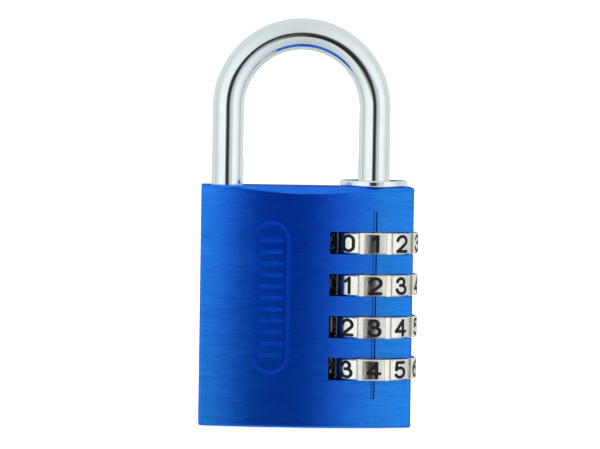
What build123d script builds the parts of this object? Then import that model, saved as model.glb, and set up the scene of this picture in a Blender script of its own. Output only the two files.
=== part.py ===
from build123d import *
import os

# A four-dial combination padlock: an anodised aluminium case with a lens-shaped section, a round steel
# shackle, and four number dials that stand out of slots on the right-hand side of the case.
# Millimetres. Front faces -Y, +Z is up, and the origin is the centre of the case's base.
#
# How it works: the long leg of the shackle runs down through the dials and carries four cross pins. Each
# dial turns a code sleeve that has one gate. Closed, every pin lies in the hollow under its sleeve's web, so
# the dials turn freely. When all four gates stand over the pins, the shackle can be lifted by one dial pitch
# and the pins come to lie in the hollows above. The case is drawn at its code, with the gates in line.
# Pressing the stack of sleeves down on the return spring takes their keys out of the dials, which is how the
# code is changed.

# ---- case ----
CASE_WIDTH = 40.0
CASE_HEIGHT = 45.3
CASE_THICKNESS = 14.4
FACE_BULGE = 2.4            # how far the front and back stand out between the side walls
SIDE_CORNER_R = 0.5
RIM_R = 0.35                # rounding round the top and the base
TOP_BEVEL = 1.4             # the straight 45 degree bevel along the front and back of the top
BASE_WALL = 1.5             # metal left under the lock bore

# ---- shackle ----
SHACKLE_R = 3.0
LEG_SPACING = 27.8
LONG_LEG_X = 12.65
SHACKLE_CLEARANCE = 25.7    # free height under the bow
LONG_LEG_END_Z = 3.0
TOE_DEPTH = 6.5
TOE_HOLE_R = 3.2
TOE_HOLE_DEPTH = 8.0
LEG_END_CHAMFER = 0.7

# ---- dials ----
DIAL_COUNT = 4
DIAL_FACES = 10
DIAL_PITCH = 7.9
TOP_DIAL_Z = 34.8
DIAL_R = 8.6
DIAL_HEIGHT = 3.95
DIAL_CHAMFER = 0.25
DIAL_BORE_R = 4.5
DIAL_RECESS_R = 4.95        # the lower half of the bore, where a pressed-down sleeve is free
NOTCH_R = 4.9
NOTCH_WIDTH = 1.4
GROOVE_DEPTH = 0.35         # the grooves between the numbers, where the detent spring clicks
GROOVE_WIDTH = 1.25
GROOVE_FLOOR = 1.05
SLOT_HEIGHT = 4.2
SLOT_WALL_X = 3.3           # the deepest point of the slot's curved end wall
SLOT_CUTTER_R = 30.0

# ---- numerals: strokes in millimetres, sunk into the dials and filled flush with enamel ----
NUMERAL_HEIGHT = 3.4
NUMERAL_STROKE = 0.6
NUMERAL_WIDENING = 1.2      # makes the numbers broad, with upright strokes heavier than level ones
NUMERAL_DEPTH = 0.16
NUMERAL_GAP = 0.02          # how far the enamel stays below the dial's face

# ---- lock mechanism ----
BORE_R = 4.5
KEYWAY_BASE_Z = 9.0         # two keyways let the sleeves' keys down through the bore
SLEEVE_R = 4.45
SLEEVE_BORE_R = 3.08
SLEEVE_TOP = 3.9            # heights on a sleeve are counted from the middle of its dial
SLEEVE_BASE = -3.95
HOLLOW_R = 3.95
HOLLOW_TOP = 0.6
GATE_WIDTH = 1.9
GATE_R = 3.95
KEY_R = 4.82
KEY_WIDTH = 1.2
KEY_BASE = 0.2
KEY_TOP = 1.7
PIN_R = 0.8
PIN_Z = -2.6                # a cross pin's axis, below the middle of its dial
PIN_TIP = 3.8
PIN_TAIL = -2.0
CODE_PRESS = 1.8            # travel of the sleeves when the code is changed

# ---- bush at the top of the long leg ----
BUSH_R = 5.2
BUSH_BORE_R = 3.06
BUSH_FLANGE_R = 6.35
BUSH_FLANGE_HEIGHT = 1.2
BUSH_FLANGE_ROUND = 0.3
BUSH_SKIRT_GAP = 0.05
BUSH_HOLLOW_TOP = 6.2       # counted from the middle of the top dial
BUSH_HOLLOW_R = 4.1
BUSH_PIN_R = 0.75
BUSH_PIN_DROP = 2.3
BUSH_PIN_INNER = 3.7
BUSH_PIN_OUTER = 6.1

# ---- cushion under the long leg ----
CUSHION_R = 2.9
CUSHION_GAP = 0.05
STEM_R = 1.0
STEM_HOLE_R = 1.05
STEM_LENGTH = 2.5
STEM_HOLE_DEPTH = 2.8

# ---- return spring and its washer ----
WASHER_HEIGHT = 0.75
WASHER_GAP = 0.05
WASHER_R = 4.42
WASHER_BORE_R = 3.2
SPRING_WIRE_R = 0.32
SPRING_R = 3.95
SPRING_TURNS = 4
SPRING_END_GAP = 0.06

# ---- detent springs ----
POCKET_DEPTH = 1.6
POCKET_HALF_LENGTH = 3.4
POCKET_HEIGHT = 3.2
LEAF_THICKNESS = 0.25
LEAF_HEIGHT = 2.8
LEAF_NOSE_GAP = 0.06

# ---- engraving on the front ----
INDEX_WIDTH = 0.75
INDEX_TOP = 40.8
INDEX_BASE = 5.5
INDEX_DEPTH = 0.34
INDEX_DRAFT = 22.0          # slope of the line's sides, degrees from square
PANEL_X = -6.8
PANEL_Z = 24.35
PANEL_LENGTH = 28.8
PANEL_WIDTH = 7.3
PANEL_LINE = 0.75
PANEL_DEPTH = 0.22
PANEL_DRAFT = 38.0
RIB_COUNT = 11
RIB_LENGTH = 4.4
RIB_WIDTH = 0.85
RIB_PITCH = 2.15

# ---- worked out ----
HALF_W = CASE_WIDTH / 2
HALF_T = CASE_THICKNESS / 2
FACE_R = (HALF_W ** 2 + FACE_BULGE ** 2) / (2 * FACE_BULGE)
TOE_X = LONG_LEG_X - LEG_SPACING
BOW_R = LEG_SPACING / 2
BOW_Z = CASE_HEIGHT + SHACKLE_CLEARANCE - (BOW_R - SHACKLE_R)
DIAL_ZS = [TOP_DIAL_Z - i * DIAL_PITCH for i in range(DIAL_COUNT)]
STEP = 360 / DIAL_FACES
STACK_TOP = DIAL_ZS[0] + SLEEVE_TOP
STACK_BASE = DIAL_ZS[-1] + SLEEVE_BASE
WASHER_TOP = STACK_BASE - WASHER_GAP
SPRING_TOP = WASHER_TOP - WASHER_HEIGHT
OUT = 30.0                  # reaches past the case in any direction


def cylinder(radius, low, high, x=LONG_LEG_X, y=0.0):
    """An upright cylinder from one height to another."""
    return Pos(x, y, low) * Cylinder(radius, high - low, align=(Align.CENTER, Align.CENTER, Align.MIN))


def box(low, high):
    """A box between two corners."""
    size = [b - a for a, b in zip(low, high)]
    return Pos(*low) * Box(*size, align=(Align.MIN, Align.MIN, Align.MIN))


def across(width, low, high, rear_only=False):
    """A slab of some width that runs from front to back through the long leg's axis."""
    front = 0 if rear_only else -OUT
    return box((LONG_LEG_X - width / 2, front, low), (LONG_LEG_X + width / 2, OUT, high))


def turned(shape, angle, x=LONG_LEG_X):
    """The shape turned about the long leg's axis."""
    return Pos(x, 0, 0) * Rot(0, 0, angle) * Pos(-x, 0, 0) * shape


def lens(inset=0.0):
    """The case's section, with its front and back brought in by inset."""
    side = HALF_T - FACE_BULGE - inset
    front = ThreePointArc((-HALF_W, -side), (0, -HALF_T + inset), (HALF_W, -side))
    right = Line((HALF_W, -side), (HALF_W, side))
    back = ThreePointArc((HALF_W, side), (0, HALF_T - inset), (-HALF_W, side))
    left = Line((-HALF_W, side), (-HALF_W, -side))
    section = make_face([front, right, back, left])
    return fillet(section.vertices(), SIDE_CORNER_R)


def struck(outline, x, z, depth, draft):
    """The dent of a flat-ended punch with sloping sides, struck squarely into the bulged front at a place."""
    axis_y = FACE_R - HALF_T
    y = axis_y - (FACE_R ** 2 - x ** 2) ** 0.5
    along = (axis_y - y, x, 0)
    outwards = Plane(origin=(x, y, z), x_dir=along, z_dir=(x, y - axis_y, 0))
    inwards = Plane(origin=(x, y, z), x_dir=along, z_dir=(-x, axis_y - y, 0))
    return extrude(outwards * outline, 1) + extrude(inwards * outline, depth, taper=draft)


def panel():
    """A long round-ended border with a ladder of short grip ribs inside."""
    border = SlotOverall(PANEL_LENGTH, PANEL_WIDTH)
    border -= SlotOverall(PANEL_LENGTH - 2 * PANEL_LINE, PANEL_WIDTH - 2 * PANEL_LINE)
    dents = [struck(Rot(0, 0, 90) * border, PANEL_X, PANEL_Z, PANEL_DEPTH, PANEL_DRAFT)]
    for i in range(RIB_COUNT):
        rise = (i - (RIB_COUNT - 1) / 2) * RIB_PITCH
        rib = SlotOverall(RIB_LENGTH, RIB_WIDTH)
        dents.append(struck(rib, PANEL_X, PANEL_Z + rise, PANEL_DEPTH, PANEL_DRAFT))
    return dents


def index_line():
    """The straight index line beside which the numbers are read."""
    line = Rectangle(INDEX_WIDTH, INDEX_TOP - INDEX_BASE)
    return struck(line, LONG_LEG_X, (INDEX_TOP + INDEX_BASE) / 2, INDEX_DEPTH, INDEX_DRAFT)


def top_bevel():
    """The wedge that the bevel along the front of the top removes."""
    start = HALF_T - TOP_BEVEL
    reach = 2 * TOP_BEVEL
    points = [(-start, CASE_HEIGHT), (-start - reach, CASE_HEIGHT - reach),
              (-start - reach, CASE_HEIGHT + 1), (-start, CASE_HEIGHT + 1)]
    return Pos(-OUT, 0, 0) * extrude(Plane.YZ * make_face(Polyline(*points, close=True)), 2 * OUT)


def lock_case():
    case = extrude(lens(), CASE_HEIGHT)
    rims = case.edges().group_by(Axis.Z)
    case = fillet(list(rims[0]) + list(rims[-1]), RIM_R)
    bevel = top_bevel()
    case = case - bevel - mirror(bevel, Plane.XZ)
    slot_x = SLOT_WALL_X + SLOT_CUTTER_R
    for z in DIAL_ZS:
        case -= cylinder(SLOT_CUTTER_R, z - SLOT_HEIGHT / 2, z + SLOT_HEIGHT / 2, x=slot_x)
        case -= box((SLOT_WALL_X - POCKET_DEPTH, -POCKET_HALF_LENGTH, z - POCKET_HEIGHT / 2),
                    (SLOT_WALL_X + 1, POCKET_HALF_LENGTH, z + POCKET_HEIGHT / 2))
    case -= cylinder(BORE_R, BASE_WALL, CASE_HEIGHT + 1)
    case -= cylinder(BUSH_R, STACK_TOP + BUSH_SKIRT_GAP, CASE_HEIGHT + 1)
    case -= across(NOTCH_WIDTH, KEYWAY_BASE_Z, CASE_HEIGHT) & cylinder(NOTCH_R, KEYWAY_BASE_Z, CASE_HEIGHT)
    case -= cylinder(TOE_HOLE_R, CASE_HEIGHT - TOE_HOLE_DEPTH, CASE_HEIGHT + 1, x=TOE_X)
    case -= index_line()
    for dent in panel():
        case -= dent
    return case - bush_pin_hole(OUT)


def bush_pin_hole(outer):
    """A radial cylinder behind the bush, from the pin's inner end outwards."""
    height = CASE_HEIGHT - BUSH_PIN_DROP
    length = outer - BUSH_PIN_INNER
    return (Pos(LONG_LEG_X, BUSH_PIN_INNER, height) * Rot(-90, 0, 0)
            * Cylinder(BUSH_PIN_R, length, align=(Align.CENTER, Align.CENTER, Align.MIN)))


def cross_pin(z):
    """A pin driven through the long leg, standing out behind it."""
    return (Pos(LONG_LEG_X, PIN_TAIL, z + PIN_Z) * Rot(-90, 0, 0)
            * Cylinder(PIN_R, PIN_TIP - PIN_TAIL, align=(Align.CENTER, Align.CENTER, Align.MIN)))


def shackle():
    long_leg = cylinder(SHACKLE_R, LONG_LEG_END_Z, BOW_Z)
    long_leg = chamfer(long_leg.edges().group_by(Axis.Z)[0], LEG_END_CHAMFER)
    short_leg = cylinder(SHACKLE_R, CASE_HEIGHT - TOE_DEPTH, BOW_Z, x=TOE_X)
    short_leg = chamfer(short_leg.edges().group_by(Axis.Z)[0], LEG_END_CHAMFER)
    middle_x = (LONG_LEG_X + TOE_X) / 2
    bow_axis = Axis((middle_x, 0, BOW_Z), (0, -1, 0))
    bow = revolve(Plane((LONG_LEG_X, 0, BOW_Z), z_dir=(0, 0, 1)) * Circle(SHACKLE_R), bow_axis, 180)
    whole = long_leg + bow + short_leg
    for z in DIAL_ZS:
        whole -= cross_pin(z)
    return whole - cylinder(STEM_HOLE_R, 0, LONG_LEG_END_Z + STEM_HOLE_DEPTH)


def leg_cushion():
    """A plastic foot that the long leg stands on and turns on."""
    top = LONG_LEG_END_Z - CUSHION_GAP
    head = cylinder(CUSHION_R, BASE_WALL, top)
    head = chamfer(head.edges(), 0.2)
    return head + cylinder(STEM_R, top - 0.5, top + STEM_LENGTH)


def stroke(start, end):
    """A round-ended straight stroke."""
    (x1, y1), (x2, y2) = start, end
    run = Vector(x2 - x1, y2 - y1)
    angle = Vector(1, 0).get_signed_angle(run, Vector(0, 0, 1))
    slot = SlotCenterToCenter(run.length, NUMERAL_STROKE)
    return Pos((x1 + x2) / 2, (y1 + y2) / 2) * Rot(0, 0, angle) * slot


def curve(start, middle, end):
    """A round-ended stroke along the arc through three points."""
    return SlotArc(ThreePointArc(start, middle, end), NUMERAL_STROKE)


def loop(x, y, radius):
    """A closed round stroke."""
    half = NUMERAL_STROKE / 2
    return Pos(x, y) * (Circle(radius + half) - Circle(radius - half))


def numerals():
    """The outlines of the numbers 0 to 9, each drawn about its own middle."""
    top = (NUMERAL_HEIGHT - NUMERAL_STROKE) / 2
    low = -top
    ring_width = 2.35
    hole = 2 * NUMERAL_STROKE
    zero = SlotOverall(NUMERAL_HEIGHT, ring_width) - SlotOverall(NUMERAL_HEIGHT - hole, ring_width - hole)
    zero = Rot(0, 0, 90) * zero
    one = stroke((0.25, low), (0.25, top)) + stroke((0.25, top), (-0.45, 0.75))
    two = curve((-0.85, 0.62), (0.0, top), (0.72, 0.05)) + stroke((0.72, 0.05), (-0.87, low))
    two += stroke((-0.87, low), (0.88, low))
    three = curve((-0.78, 0.8), (0.0, top), (0.05, 0.1)) + stroke((-0.25, 0.1), (0.05, 0.1))
    three += curve((0.05, 0.1), (0.83, -0.62), (-0.05, low))
    three += curve((-0.05, low), (-0.62, -1.15), (-0.86, -0.68))
    four = stroke((0.42, low), (0.42, top)) + stroke((0.42, top), (-0.9, -0.62))
    four += stroke((-0.9, -0.62), (0.92, -0.62))
    five = stroke((0.75, top), (-0.6, top)) + stroke((-0.6, top), (-0.72, 0.05))
    five += curve((-0.72, 0.05), (0.87, -0.5), (-0.78, -0.92))
    six = loop(0, -0.53, 0.87) + curve((-0.86, -0.45), (-0.55, 0.85), (0.6, 1.27))
    seven = stroke((-0.85, top), (0.85, top)) + stroke((0.85, top), (-0.25, low))
    eight = loop(0, 0.74, 0.66) + loop(0, -0.6, 0.8)
    nine = Rot(0, 0, 180) * six
    outlines = [zero, one, two, three, four, five, six, seven, eight, nine]
    return [scale(outline, by=(NUMERAL_WIDENING, 1, 1)) for outline in outlines]


def numeral_ring():
    """The enamel of all ten numbers, standing about the long leg's axis with 0 at the front."""
    face = cylinder(DIAL_R - NUMERAL_GAP, -3, 3) - cylinder(DIAL_R - NUMERAL_DEPTH, -3, 3)
    ring = []
    for number, outline in enumerate(numerals()):
        prism = extrude(Plane.XZ * outline, DIAL_R + 1)
        ring += [turned(solid, number * STEP) for solid in (Pos(LONG_LEG_X, 0, 0) * prism & face).solids()]
    return ring


def dial_ring():
    """A dial about the long leg's axis at height 0, with empty numerals and 0 at the front."""
    low, high = -DIAL_HEIGHT / 2, DIAL_HEIGHT / 2
    ring = cylinder(DIAL_R, low, high)
    ring = chamfer(ring.edges(), DIAL_CHAMFER)
    ring -= cylinder(DIAL_BORE_R, low - 1, high + 1)
    ring -= cylinder(DIAL_RECESS_R, low - 1, 0)
    floor = DIAL_R - GROOVE_DEPTH
    slope = (GROOVE_WIDTH - GROOVE_FLOOR) / 2
    section = make_face(Polyline(
        (-GROOVE_FLOOR / 2, floor), (GROOVE_FLOOR / 2, floor),
        (GROOVE_WIDTH / 2 + slope, DIAL_R + GROOVE_DEPTH),
        (-GROOVE_WIDTH / 2 - slope, DIAL_R + GROOVE_DEPTH), close=True))
    groove = Pos(LONG_LEG_X, 0, low - 1) * extrude(section, DIAL_HEIGHT + 2)
    notch = across(NOTCH_WIDTH, -1, high + 1, rear_only=True) & cylinder(NOTCH_R, -1, high + 1)
    for i in range(DIAL_FACES):
        ring -= turned(groove, (i + 0.5) * STEP)
        ring -= turned(notch, i * STEP)
    sunk = cylinder(DIAL_R + 1, low, high) - cylinder(DIAL_R - NUMERAL_DEPTH, low, high)
    for number, outline in enumerate(numerals()):
        prism = Pos(LONG_LEG_X, 0, 0) * extrude(Plane.XZ * outline, DIAL_R + 1)
        ring -= turned(prism & sunk, number * STEP)
    return ring


def code_sleeve(z):
    sleeve = cylinder(SLEEVE_R, z + SLEEVE_BASE, z + SLEEVE_TOP)
    sleeve += across(KEY_WIDTH, z + KEY_BASE, z + KEY_TOP) & cylinder(KEY_R, z + KEY_BASE, z + KEY_TOP)
    sleeve -= cylinder(SLEEVE_BORE_R, z + SLEEVE_BASE - 1, z + SLEEVE_TOP + 1)
    sleeve -= cylinder(HOLLOW_R, z + SLEEVE_BASE - 1, z + HOLLOW_TOP)
    gate = across(GATE_WIDTH, z, z + SLEEVE_TOP + 1, rear_only=True)
    return sleeve - (gate & cylinder(GATE_R, z, z + SLEEVE_TOP + 1))


def guide_bush():
    skirt_base = STACK_TOP + BUSH_SKIRT_GAP
    flange = cylinder(BUSH_FLANGE_R, CASE_HEIGHT, CASE_HEIGHT + BUSH_FLANGE_HEIGHT)
    flange = fillet(flange.edges(), BUSH_FLANGE_ROUND)
    bush = flange + cylinder(BUSH_R, skirt_base, CASE_HEIGHT + BUSH_FLANGE_HEIGHT / 2)
    bush -= cylinder(BUSH_BORE_R, skirt_base - 1, CASE_HEIGHT + 2)
    bush -= cylinder(BUSH_HOLLOW_R, skirt_base - 1, TOP_DIAL_Z + BUSH_HOLLOW_TOP)
    return bush - bush_pin_hole(OUT)


def thrust_washer():
    washer = cylinder(WASHER_R, SPRING_TOP, WASHER_TOP)
    return washer - cylinder(WASHER_BORE_R, SPRING_TOP - 1, WASHER_TOP + 1)


def return_spring():
    low = BASE_WALL + SPRING_WIRE_R + SPRING_END_GAP
    high = SPRING_TOP - SPRING_WIRE_R - SPRING_END_GAP
    coil = Helix((high - low) / SPRING_TURNS, high - low, SPRING_R)
    start = Plane(coil @ 0, z_dir=coil % 0)
    wire = sweep(start * Circle(SPRING_WIRE_R), coil, is_frenet=True)
    return Pos(LONG_LEG_X, 0, low) * wire


def detent_spring(z):
    """A bowed leaf that rests in its pocket and noses into the groove at the dial's left."""
    back = SLOT_WALL_X - POCKET_DEPTH + LEAF_THICKNESS / 2 + LEAF_NOSE_GAP
    tip = LONG_LEG_X - DIAL_R + GROOVE_DEPTH - LEAF_NOSE_GAP - LEAF_THICKNESS / 2
    half = POCKET_HALF_LENGTH - 0.3
    points = [(back, -half), (back, -half + 0.7), (tip - 0.75, -0.75), (tip, 0),
              (tip - 0.75, 0.75), (back, half - 0.7), (back, half)]
    leaf = trace(FilletPolyline(*points, radius=0.2), LEAF_THICKNESS)
    return Pos(0, 0, z - LEAF_HEIGHT / 2) * extrude(leaf, LEAF_HEIGHT)


def main():
    parts = {
        "lock_case": lock_case(),
        "shackle": shackle(),
        "leg_cushion": leg_cushion(),
        "guide_bush": guide_bush(),
        "bush_pin": bush_pin_hole(BUSH_PIN_OUTER),
        "thrust_washer": thrust_washer(),
        "return_spring": return_spring(),
    }
    ring = dial_ring()
    enamel = numeral_ring()
    for i, z in enumerate(DIAL_ZS, start=1):
        show = -i * STEP
        parts[f"number_dial_{i}"] = Pos(0, 0, z) * turned(ring, show)
        parts[f"dial_numerals_{i}"] = Compound([Pos(0, 0, z) * turned(solid, show) for solid in enamel])
        parts[f"code_sleeve_{i}"] = code_sleeve(z)
        parts[f"locking_pin_{i}"] = cross_pin(z)
        parts[f"detent_spring_{i}"] = detent_spring(z)
    os.makedirs("parts", exist_ok=True)
    for name, shape in parts.items():
        export_step(shape, f"parts/{name}.step")


main()
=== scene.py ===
import math

import bpy
from mathutils import Matrix, Vector


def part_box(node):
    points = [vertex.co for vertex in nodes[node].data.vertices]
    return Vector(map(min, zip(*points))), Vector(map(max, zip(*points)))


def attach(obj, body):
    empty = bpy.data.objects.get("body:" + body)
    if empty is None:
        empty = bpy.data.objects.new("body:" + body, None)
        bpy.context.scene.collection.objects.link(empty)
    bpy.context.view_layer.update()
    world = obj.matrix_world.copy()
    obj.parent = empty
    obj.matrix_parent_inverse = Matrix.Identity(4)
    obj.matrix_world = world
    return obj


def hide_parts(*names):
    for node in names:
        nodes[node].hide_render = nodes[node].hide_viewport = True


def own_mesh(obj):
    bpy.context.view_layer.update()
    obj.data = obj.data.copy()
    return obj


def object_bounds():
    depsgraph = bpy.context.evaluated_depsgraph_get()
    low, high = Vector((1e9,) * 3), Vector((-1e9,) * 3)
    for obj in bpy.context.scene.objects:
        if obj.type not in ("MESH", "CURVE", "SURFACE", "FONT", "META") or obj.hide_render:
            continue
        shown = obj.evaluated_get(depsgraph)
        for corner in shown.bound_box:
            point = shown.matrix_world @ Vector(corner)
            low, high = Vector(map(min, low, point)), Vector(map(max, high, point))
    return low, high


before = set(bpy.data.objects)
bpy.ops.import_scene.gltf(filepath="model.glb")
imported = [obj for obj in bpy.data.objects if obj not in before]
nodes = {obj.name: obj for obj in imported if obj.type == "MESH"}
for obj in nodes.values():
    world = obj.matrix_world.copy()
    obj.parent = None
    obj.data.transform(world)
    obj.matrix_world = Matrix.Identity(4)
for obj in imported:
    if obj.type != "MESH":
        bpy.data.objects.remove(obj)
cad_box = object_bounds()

MM = 0.001


# ---------------------------------------------------------------- helpers
def math_node(tree, operation, a, b=None, clamp=False):
    """An arithmetic node over one or two values, each of them a number or another node's output."""
    node = tree.nodes.new("ShaderNodeMath")
    node.operation, node.use_clamp = operation, clamp
    for socket, value in zip(node.inputs, (a, b)):
        if isinstance(value, (int, float)):
            socket.default_value = value
        elif value is not None:
            tree.links.new(value, socket)
    return node.outputs["Value"]


class Graph:
    """A small builder for a material's nodes around one Principled shader."""

    def __init__(self, name, **sockets):
        self.material = bpy.data.materials.new(name)
        self.material.use_nodes = True
        self.tree = self.material.node_tree
        self.shader = self.tree.nodes["Principled BSDF"]
        for socket, value in sockets.items():
            self.shader.inputs[socket.replace("_", " ")].default_value = value
        places = self.add("ShaderNodeTexCoord")
        self.coords, self.normals = places.outputs["Object"], places.outputs["Normal"]

    def add(self, kind, **settings):
        """A new node with these properties."""
        node = self.tree.nodes.new(kind)
        for key, value in settings.items():
            setattr(node, key, value)
        return node

    def link(self, output, target):
        self.tree.links.new(output, target)

    def mapped(self, scale, location=(0, 0, 0)):
        """Object coordinates, stretched."""
        mapping = self.add("ShaderNodeMapping")
        mapping.inputs["Scale"].default_value = scale
        mapping.inputs["Location"].default_value = location
        self.link(self.coords, mapping.inputs["Vector"])
        return mapping.outputs["Vector"]

    def noise(self, scale, detail=4.0, roughness=0.6, location=(0, 0, 0)):
        """Noise whose cells are 1/scale metres along each axis."""
        node = self.add("ShaderNodeTexNoise")
        node.inputs["Scale"].default_value = 1.0
        node.inputs["Detail"].default_value = detail
        node.inputs["Roughness"].default_value = roughness
        self.link(self.mapped(scale, location), node.inputs["Vector"])
        return node.outputs["Fac"]

    def spread(self, value, low, high, out_low=0.0, out_high=1.0):
        """A value's stretch from low to high, spread from out_low to out_high and held at its ends."""
        node = self.add("ShaderNodeMapRange")
        node.inputs["From Min"].default_value = low
        node.inputs["From Max"].default_value = high
        node.inputs["To Min"].default_value = out_low
        node.inputs["To Max"].default_value = out_high
        self.link(value, node.inputs["Value"])
        return node.outputs["Result"]

    def ramp(self, value, *stops):
        """A colour out of (place, colour) stops."""
        node = self.add("ShaderNodeValToRGB")
        elements = node.color_ramp.elements
        while len(elements) < len(stops):
            elements.new(0.5)
        for element, (place, color) in zip(elements, stops):
            element.position = place
            element.color = (*color, 1)
        self.link(value, node.inputs["Fac"])
        return node.outputs["Color"]

    def mix(self, factor, a, b):
        """One colour out of two, each of them a tuple or another node's output."""
        node = self.add("ShaderNodeMix", data_type="RGBA")
        self.link(factor, node.inputs["Factor"])
        for socket, value in ((node.inputs["A"], a), (node.inputs["B"], b)):
            if isinstance(value, tuple):
                socket.default_value = (*value, 1)
            else:
                self.link(value, socket)
        return node.outputs["Result"]

    def blend(self, factor, a, b):
        """One plain value out of two."""
        node = self.add("ShaderNodeMix", data_type="FLOAT")
        self.link(factor, node.inputs["Factor"])
        self.link(a, node.inputs["A"])
        self.link(b, node.inputs["B"])
        return node.outputs["Result"]

    def split(self, vector):
        """The X, Y and Z parts of a vector."""
        node = self.add("ShaderNodeSeparateXYZ")
        self.link(vector, node.inputs["Vector"])
        return node.outputs

    def math(self, operation, a, b=None):
        return math_node(self.tree, operation, a, b)

    def bump(self, height, strength, distance, normal=None):
        """A normal that follows a height, over another normal where one is given."""
        node = self.add("ShaderNodeBump")
        node.inputs["Strength"].default_value = strength
        node.inputs["Distance"].default_value = distance
        self.link(height, node.inputs["Height"])
        if normal is not None:
            self.link(normal, node.inputs["Normal"])
        return node.outputs["Normal"]

    def set(self, socket, output):
        self.link(output, self.shader.inputs[socket])


def per_mm(*cells):
    """Noise cells for each millimetre, as a scale for metres."""
    return tuple(c / MM for c in cells)


def placed(name, data):
    """A new object in the scene."""
    obj = bpy.data.objects.new(name, data)
    bpy.context.scene.collection.objects.link(obj)
    return obj


def hide_from(obj, *rays):
    """Keeps an object out of what these kinds of rays find."""
    for kind in rays:
        setattr(obj, "visible_" + kind, False)


def aim(obj, place, target, roll=0.0):
    """Puts a lamp or the camera at a place, looking at the target."""
    direction = Vector(target) - Vector(place)
    turn = direction.to_track_quat("-Z", "Y").to_matrix().to_4x4()
    obj.matrix_world = Matrix.Translation(place) @ turn @ Matrix.Rotation(roll, 4, "Z")


def around(azimuth, distance, height):
    """A place at an azimuth counted from straight in front, positive to the right."""
    a = math.radians(azimuth)
    return (math.sin(a) * distance, -math.cos(a) * distance, height)


# ---------------------------------------------------------------- materials
# the case's shape, which its finish follows
CASE_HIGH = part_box("lock_case")[1]
FACE_BULGE = 2.4 * MM
TOP_BEVEL = 1.4 * MM
INDEX_MIDDLE = 12.62 * MM       # the middle of the index line's floor, along X
# the dials and the sleeves inside them
LONG_LEG_X = 12.65 * MM
DIAL_FACES = 10


def depth_in_case(g):
    """How far a point lies under the case's outer surface, which is nothing on its outside."""
    half_w, half_t, height = CASE_HIGH.x, CASE_HIGH.y, CASE_HIGH.z
    face_r = (half_w ** 2 + FACE_BULGE ** 2) / (2 * FACE_BULGE)
    bevel_sum = half_t - TOP_BEVEL + height     # y + z everywhere on the bevel
    parts = g.split(g.coords)
    x, z = parts["X"], parts["Z"]
    y = g.math("ABSOLUTE", parts["Y"])
    from_axis = g.math("ADD", y, face_r - half_t)
    radius = g.math("SQRT", g.math("ADD", g.math("POWER", x, 2), g.math("POWER", from_axis, 2)))
    walls = [
        g.math("SUBTRACT", face_r, radius),
        g.math("SUBTRACT", half_w, g.math("ABSOLUTE", x)),
        g.math("SUBTRACT", height, z),
        g.math("MULTIPLY", g.math("SUBTRACT", bevel_sum, g.math("ADD", y, z)), math.sqrt(0.5)),
        z,
    ]
    least = walls[0]
    for wall in walls[1:]:
        least = g.math("MINIMUM", least, wall)
    return least


# the anodising: (place in the grain, colour), looked at squarely and at a slant, where a painted sheen makes
# it paler and more azure
SQUARE_BLUE = ((0.38, (0.0, 0.042, 0.58)), (0.5, (0.0, 0.068, 0.74)), (0.62, (0.0, 0.112, 0.88)))
SLANT_SHEEN_BLUE = ((0.38, (0.004, 0.155, 0.64)), (0.5, (0.008, 0.205, 0.76)), (0.62, (0.015, 0.27, 0.87)))
EDGE_TINT = (0.25, 0.45, 1.0, 1.0)
# painted shade along the index line's walls, and a painted sheen that makes the panel's engraving paler
GROOVE_SHADE = (0.0, 0.016, 0.18)
PANEL_SHINE = (0.008, 0.19, 0.96)
# painted shade, near black, for deep inside the slots and bores
INSIDE_PAINTED_SHADE = (0.001, 0.006, 0.020)


def band(g, value, rise, fall):
    """One between the two slopes, which are (from, to) pairs, and nothing outside them."""
    return g.math("MULTIPLY", g.spread(value, *rise), g.spread(value, fall[1], fall[0]))


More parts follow.
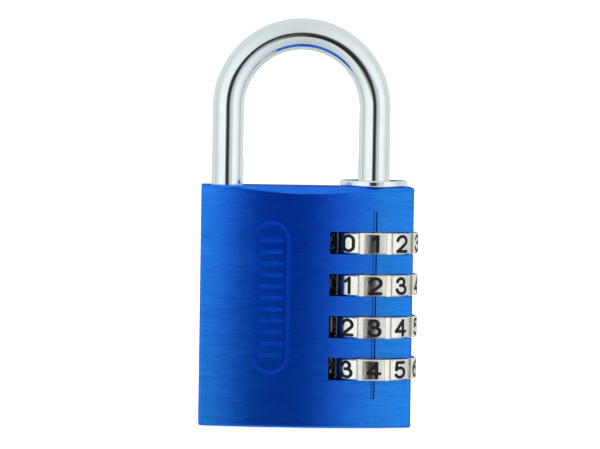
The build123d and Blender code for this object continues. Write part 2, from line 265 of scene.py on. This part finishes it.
def anodised_blue():
    """Dyed anodising over fine level brushing, purer when looked at squarely, with a painted sheen that
    makes it paler and more azure at a slant, standing in for its lit slopes.
    """
    g = Graph("blue_anodised_aluminium", Metallic=0.8, Roughness=0.2, Coat_Weight=0.25, Coat_Roughness=0.16,
              Specular_Tint=EDGE_TINT)
    level_streaks = g.noise(per_mm(0.28, 0.28, 7.0), detail=5, roughness=0.8)
    top_streaks = g.noise(per_mm(0.28, 7.0, 0.28), detail=5, roughness=0.8)
    upward = g.math("ABSOLUTE", g.split(g.normals)["Z"])
    streaks = g.blend(g.spread(upward, 0.6, 0.65), level_streaks, top_streaks)
    broad = g.noise(per_mm(0.03, 0.03, 0.6), detail=3, location=(3, 1, 7))
    grain = g.math("ADD", g.math("MULTIPLY", streaks, 0.85), g.math("MULTIPLY", broad, 0.15))
    weight = g.add("ShaderNodeLayerWeight")
    weight.inputs["Blend"].default_value = 0.5
    facing = weight.outputs["Facing"]
    # painted sheen: the colour turns paler azure as the surface turns from square to slanting
    azure = g.math("MULTIPLY", g.spread(facing, 0.001, 0.030), g.spread(facing, 0.055, 0.13, 1.0, 0.5))
    color = g.mix(azure, g.ramp(grain, *SQUARE_BLUE), g.ramp(grain, *SLANT_SHEEN_BLUE))
    # the engraving: painted shade along the index line's sides, a painted sheen that makes the panel paler,
    # and painted shade that turns black deep inside the case
    depth = depth_in_case(g)
    x = g.split(g.coords)["X"]
    aside = g.math("ABSOLUTE", g.math("SUBTRACT", x, INDEX_MIDDLE))
    near_wall = band(g, aside, (0.15 * MM, 0.20 * MM), (0.45 * MM, 0.50 * MM))
    in_groove = band(g, depth, (0.03 * MM, 0.09 * MM), (0.40 * MM, 0.45 * MM))
    color = g.mix(g.math("MULTIPLY", near_wall, in_groove), color, GROOVE_SHADE)
    panel_side = g.spread(x, 0.0, -1 * MM, 0.0, 0.32)
    color = g.mix(g.math("MULTIPLY", panel_side, in_groove), color, PANEL_SHINE)
    # painted shade: deeper than 0.4 mm under the case's surface the colour fades to near black
    color = g.mix(g.spread(depth, 0.4 * MM, 1.6 * MM), color, INSIDE_PAINTED_SHADE)
    g.set("Base Color", color)
    brushed = g.spread(streaks, 0.3, 0.7, 0.15, 0.24)
    inside = g.spread(depth, 0.1 * MM, 0.5 * MM, 0.0, 0.25)
    g.set("Roughness", g.math("ADD", brushed, inside))
    g.set("Normal", g.bump(streaks, 0.14, 0.01 * MM))
    return g.material


CHROME_TINT = (0.79, 0.85, 0.865)


def chrome(name, tint=CHROME_TINT, roughness=0.032):
    """Polished chrome with faint swirls."""
    g = Graph(name, Metallic=1.0, Roughness=roughness)
    cloud = g.noise(per_mm(0.25, 0.25, 0.25), detail=3)
    g.set("Base Color", g.mix(g.spread(cloud, 0.35, 0.65), tuple(c * 0.97 for c in tint), tint))
    swirl = g.noise(per_mm(1.2, 1.2, 0.9), detail=6, roughness=0.75, location=(5, 2, 1))
    g.set("Roughness", g.spread(swirl, 0.35, 0.75, roughness * 0.7, roughness * 2.2))
    g.set("Normal", g.bump(swirl, 0.03, 0.01 * MM))
    return g.material


def satin_metal(name, dark, light, roughness, cells, depth=0.02, strength=0.2):
    """A metal with a fine turned, ground or drawn finish."""
    g = Graph(name, Metallic=1.0, Roughness=roughness)
    lines = g.noise(per_mm(*cells), detail=4, roughness=0.65)
    g.set("Base Color", g.mix(g.spread(lines, 0.3, 0.7), dark, light))
    g.set("Roughness", g.spread(lines, 0.3, 0.7, roughness * 0.8, roughness * 1.25))
    g.set("Normal", g.bump(lines, strength, depth * MM))
    return g.material


# a darker colour for mottled lines along the sides of the dials' grooves
GROOVE_SIDE_DARK = (0.16, 0.13, 0.09)


def dial_nickel():
    """Satin nickel, grained and slightly mottled, darker in mottled lines along the sides of the grooves."""
    g = Graph("satin_nickel", Metallic=1.0, Roughness=0.12)
    lines = g.noise(per_mm(3.0, 3.0, 0.3), detail=4, roughness=0.65)
    mottle = g.noise(per_mm(5.0, 5.0, 3.5), detail=3, roughness=0.7, location=(1, 4, 2))
    color = g.mix(g.spread(lines, 0.3, 0.7), (0.76, 0.74, 0.69), (0.92, 0.90, 0.84))
    parts = g.split(g.coords)
    angle = g.math("ARCTAN2", parts["Y"], g.math("SUBTRACT", parts["X"], LONG_LEG_X))
    steps = g.math("ADD", g.math("DIVIDE", angle, 2 * math.pi / DIAL_FACES), 2 * DIAL_FACES)
    off_groove = g.math("PINGPONG", steps, 0.5)      # how far from the nearest groove's middle, in steps
    corner = band(g, off_groove, (0.070, 0.085), (0.115, 0.130))
    patchy = g.math("MULTIPLY", corner, g.spread(mottle, 0.35, 0.65, 0.15, 0.6))
    g.set("Base Color", g.mix(patchy, color, GROOVE_SIDE_DARK))
    g.set("Roughness", g.spread(mottle, 0.35, 0.65, 0.09, 0.17))
    grained = g.bump(lines, 0.10, 0.015 * MM)
    g.set("Normal", g.bump(mottle, 0.45, 0.035 * MM, grained))
    return g.material


def enamel():
    """Black enamel, nearly without gloss."""
    g = Graph("black_enamel", Metallic=0.0, Roughness=0.5, Specular_IOR_Level=0.2)
    grain = g.noise(per_mm(4, 4, 4), detail=3)
    g.set("Base Color", g.mix(g.spread(grain, 0.3, 0.7), (0.003, 0.003, 0.004), (0.010, 0.010, 0.012)))
    g.set("Roughness", g.spread(grain, 0.3, 0.7, 0.4, 0.6))
    return g.material


def acetal():
    """Pale moulded plastic."""
    g = Graph("acetal", Metallic=0.0, Roughness=0.45)
    grain = g.noise(per_mm(2, 2, 2), detail=4)
    g.set("Base Color", g.mix(g.spread(grain, 0.3, 0.7), (0.72, 0.70, 0.65), (0.80, 0.79, 0.75)))
    g.set("Normal", g.bump(grain, 0.1, 0.02 * MM))
    return g.material


def paint_nodes():
    """Gives every CAD node its material, by its name without the number at the end."""
    nickel = dial_nickel()
    steel = satin_metal("ground_steel", (0.42, 0.42, 0.43), (0.62, 0.62, 0.63), 0.3, (2, 2, 6))
    spring = satin_metal("spring_steel", (0.28, 0.28, 0.30), (0.45, 0.45, 0.47), 0.28, (3, 3, 3))
    brass = satin_metal("machined_brass", (0.55, 0.38, 0.14), (0.78, 0.60, 0.28), 0.26, (0.5, 0.5, 9))
    by_name = {
        "lock_case": anodised_blue(),
        "shackle": chrome("shackle_chrome"),
        "guide_bush": chrome("bush_chrome", roughness=0.06),
        "bush_pin": steel,
        "leg_cushion": acetal(),
        "thrust_washer": steel,
        "return_spring": spring,
        "number_dial": nickel,
        "dial_numerals": enamel(),
        "code_sleeve": brass,
        "locking_pin": steel,
        "detent_spring": spring,
    }
    for name, obj in nodes.items():
        kind = name.rstrip("1234").rstrip("_")
        obj.data.materials.clear()
        obj.data.materials.append(by_name[kind])


# ---------------------------------------------------------------- stage and light, in metres
FLOOR_HALF = 6.0
FLOOR_DROP = 0.00002        # keeps the floor clear of the case's base
FLOOR_WHITE, FLOOR_CLOUD = 0.92, 0.985      # its brightness, and what a cloud leaves of it
FLOOR_GLOW = 0.3
COVE_SIDES, COVE_RADIUS = 64, 3.0
COVE_BASE, COVE_TOP = -1.0, 5.0
ROOM_TINT = (0.97, 1.0, 1.0, 1)
ROOM_LEVEL = 0.75
ROOM_RISE = 0.09            # how much brighter it is overhead
CORNER_GLOW = 0.75
REAR_SHARE = 0.3            # of the corner glow
LIT_POINT = (0, 0, 0.035)


def pale_floor():
    """A pale, very slightly clouded floor that glows a little, so that it stays white."""
    g = Graph("pale_floor", Roughness=0.8, Emission_Color=(1, 1, 1, 1), Emission_Strength=FLOOR_GLOW)
    cloud = g.noise((2, 2, 2), detail=2)
    g.set("Base Color", g.mix(cloud, (FLOOR_WHITE,) * 3, (FLOOR_WHITE * FLOOR_CLOUD,) * 3))
    return g.material


def sweep_floor():
    """A floor that is level round the object and far wider than it."""
    mesh = bpy.data.meshes.new("floor")
    corners = [(x * FLOOR_HALF, y * FLOOR_HALF, 0) for x, y in ((-1, -1), (1, -1), (1, 1), (-1, 1))]
    mesh.from_pydata(corners, [], [(0, 1, 2, 3)])
    mesh.materials.append(pale_floor())
    floor = placed("floor", mesh)
    floor.location.z = cad_box[0][2] - FLOOR_DROP
    hide_from(floor, "glossy")


def soft_light(name, place, width, height, power):
    """A rectangular lamp that lights the object but isn't mirrored in it."""
    data = bpy.data.lights.new(name, "AREA")
    data.shape = "RECTANGLE"
    data.size, data.size_y = width, height
    data.energy = power
    lamp = placed(name, data)
    aim(lamp, place, LIT_POINT)
    hide_from(lamp, "glossy")


def world_light():
    """A white room that is brightest at its front corners, and a little so at its rear ones."""
    world = bpy.data.worlds.new("white_studio")
    world.use_nodes = True
    tree = world.node_tree
    background = tree.nodes["Background"]

    def calc(*values, **settings):
        return math_node(tree, *values, **settings)

    coords = tree.nodes.new("ShaderNodeTexCoord")
    split = tree.nodes.new("ShaderNodeSeparateXYZ")
    tree.links.new(coords.outputs["Generated"], split.inputs["Vector"])
    x, y, z = split.outputs["X"], split.outputs["Y"], split.outputs["Z"]
    sideways = calc("ABSOLUTE", x)
    front = calc("MULTIPLY", y, -1, clamp=True)
    rear = calc("MULTIPLY", calc("MAXIMUM", y, 0), REAR_SHARE)
    lengthways = calc("ADD", front, rear)
    level = calc("SUBTRACT", 1, calc("MULTIPLY", z, z), clamp=True)
    glow = calc("MULTIPLY", calc("MULTIPLY", sideways, lengthways), level)
    room = calc("ADD", calc("MULTIPLY", z, ROOM_RISE), ROOM_LEVEL)
    light = calc("ADD", calc("MULTIPLY", glow, CORNER_GLOW), room)
    background.inputs["Color"].default_value = ROOM_TINT
    tree.links.new(light, background.inputs["Strength"])
    bpy.context.scene.world = world


def light_scene():
    """The white room, a softbox on either side in front, and a larger one overhead."""
    world_light()
    soft_light("left_softbox", around(-60, 0.8, 0.10), width=0.5, height=0.9, power=1.3)
    soft_light("right_softbox", around(60, 0.8, 0.10), width=0.5, height=0.9, power=1.1)
    soft_light("top_softbox", (0, 0, 1.1), width=1.4, height=1.4, power=8)


def white_cove():
    """A round white wall that only the camera sees, so that the floor runs into plain white."""
    count = COVE_SIDES
    ring = []
    for i in range(count):
        angle = 2 * math.pi * i / count
        ring.append((math.cos(angle) * COVE_RADIUS, math.sin(angle) * COVE_RADIUS))
    points = [(x, y, z) for z in (COVE_BASE, COVE_TOP) for x, y in ring] + [(0, 0, COVE_TOP)]
    faces = [(i, (i + 1) % count, count + (i + 1) % count, count + i) for i in range(count)]
    faces += [(count + i, count + (i + 1) % count, 2 * count) for i in range(count)]
    mesh = bpy.data.meshes.new("cove")
    mesh.from_pydata(points, [], faces)
    g = Graph("cove_white", Roughness=1.0, Emission_Color=(1, 1, 1, 1), Emission_Strength=1.0)
    mesh.materials.append(g.material)
    cove = placed("cove", mesh)
    hide_from(cove, "glossy", "diffuse", "transmission", "shadow")


CARD_DISTANCE = 0.9
CARD_BASE, CARD_TOP = -0.29, 0.20
CARD_FADE = (-0.085, 0.02)      # the heights between which its lower light turns into its upper light
CARD_STRENGTH = 2.0
# its light: (azimuth in degrees from straight in front, at its upper part, at its lower part)
CARD_LIGHT = (
    (-30, 1.0, 0.60), (-25, 1.15, 0.52), (-21, 1.0, 0.42), (-17.5, 0.50, 0.22), (-14.5, 0.08, 0.04),
    (1, 0.02, 0.02), (6, 0.18, 0.18), (10, 0.46, 0.50), (15, 0.64, 0.70), (22, 0.74, 0.84), (32, 0.78, 0.90),
)


def card_place(azimuth):
    """Where across the card an azimuth is."""
    return math.tan(math.radians(azimuth)) * CARD_DISTANCE


def card_material(low, high):
    """The card's own light, which changes across it and from its lower to its upper part."""
    g = Graph("card_light", Base_Color=(0, 0, 0, 1), Roughness=1.0, Specular_IOR_Level=0.0,
              Emission_Strength=CARD_STRENGTH)
    parts = g.split(g.coords)
    across = g.spread(parts["X"], low, high)
    upper, lower = [], []
    for azimuth, above, below in CARD_LIGHT:
        stop = (card_place(azimuth) - low) / (high - low)
        upper.append((stop, (above / CARD_STRENGTH,) * 3))
        lower.append((stop, (below / CARD_STRENGTH,) * 3))
    rise = g.spread(parts["Z"], *CARD_FADE)
    g.set("Emission Color", g.mix(rise, g.ramp(across, *lower), g.ramp(across, *upper)))
    return g.material


def reflection_cards():
    """Cards in front and behind, black in the middle and bright at the sides, for the metal to reflect."""
    low, high = card_place(CARD_LIGHT[0][0]), card_place(CARD_LIGHT[-1][0])
    corners = [(low, 0, CARD_BASE), (high, 0, CARD_BASE), (high, 0, CARD_TOP), (low, 0, CARD_TOP)]
    material = card_material(low, high)
    for name, turn in (("front_card", 0), ("rear_card", 180)):
        mesh = bpy.data.meshes.new(name)
        mesh.from_pydata(corners, [], [(0, 1, 2, 3)])
        mesh.materials.append(material)
        card = placed(name, mesh)
        card.location = around(turn, CARD_DISTANCE, 0)
        card.rotation_euler = (0, 0, math.radians(turn))
        hide_from(card, "camera", "diffuse", "shadow")


# ---------------------------------------------------------------- the return spring
def press_spring():
    """The return spring again, with a mesh of its own, attached to the case in the place of the original,
    which is hidden.
    """
    node = nodes["return_spring"]
    spring = placed("pressed_spring", node.data.copy())
    spring.matrix_world = node.matrix_world
    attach(spring, "case")
    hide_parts("return_spring")
    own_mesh(spring)


# ---------------------------------------------------------------- camera
CAMERA_LENS, CAMERA_SENSOR = 174.2, 36      # millimetres
CAMERA_TARGET = Vector((-0.00125, 0, 0.0379))
CAMERA_DISTANCE, CAMERA_HEIGHT = 0.55, 0.060
CAMERA_AZIMUTH, CAMERA_ROLL = -2.5, 0.93    # degrees


def place_camera():
    """The camera, straight in front but for a little to the left, above the object's middle."""
    data = bpy.data.cameras.new("camera")
    data.sensor_width, data.lens = CAMERA_SENSOR, CAMERA_LENS
    data.clip_start, data.clip_end = 0.05, 20
    camera = placed("camera", data)
    aside = around(CAMERA_AZIMUTH, CAMERA_DISTANCE, CAMERA_HEIGHT - CAMERA_TARGET.z)
    aim(camera, CAMERA_TARGET + Vector(aside), CAMERA_TARGET, math.radians(CAMERA_ROLL))
    bpy.context.scene.camera = camera


paint_nodes()
sweep_floor()
light_scene()
white_cove()
reflection_cards()
press_spring()
place_camera()
bpy.context.scene.view_settings.view_transform = "Standard"
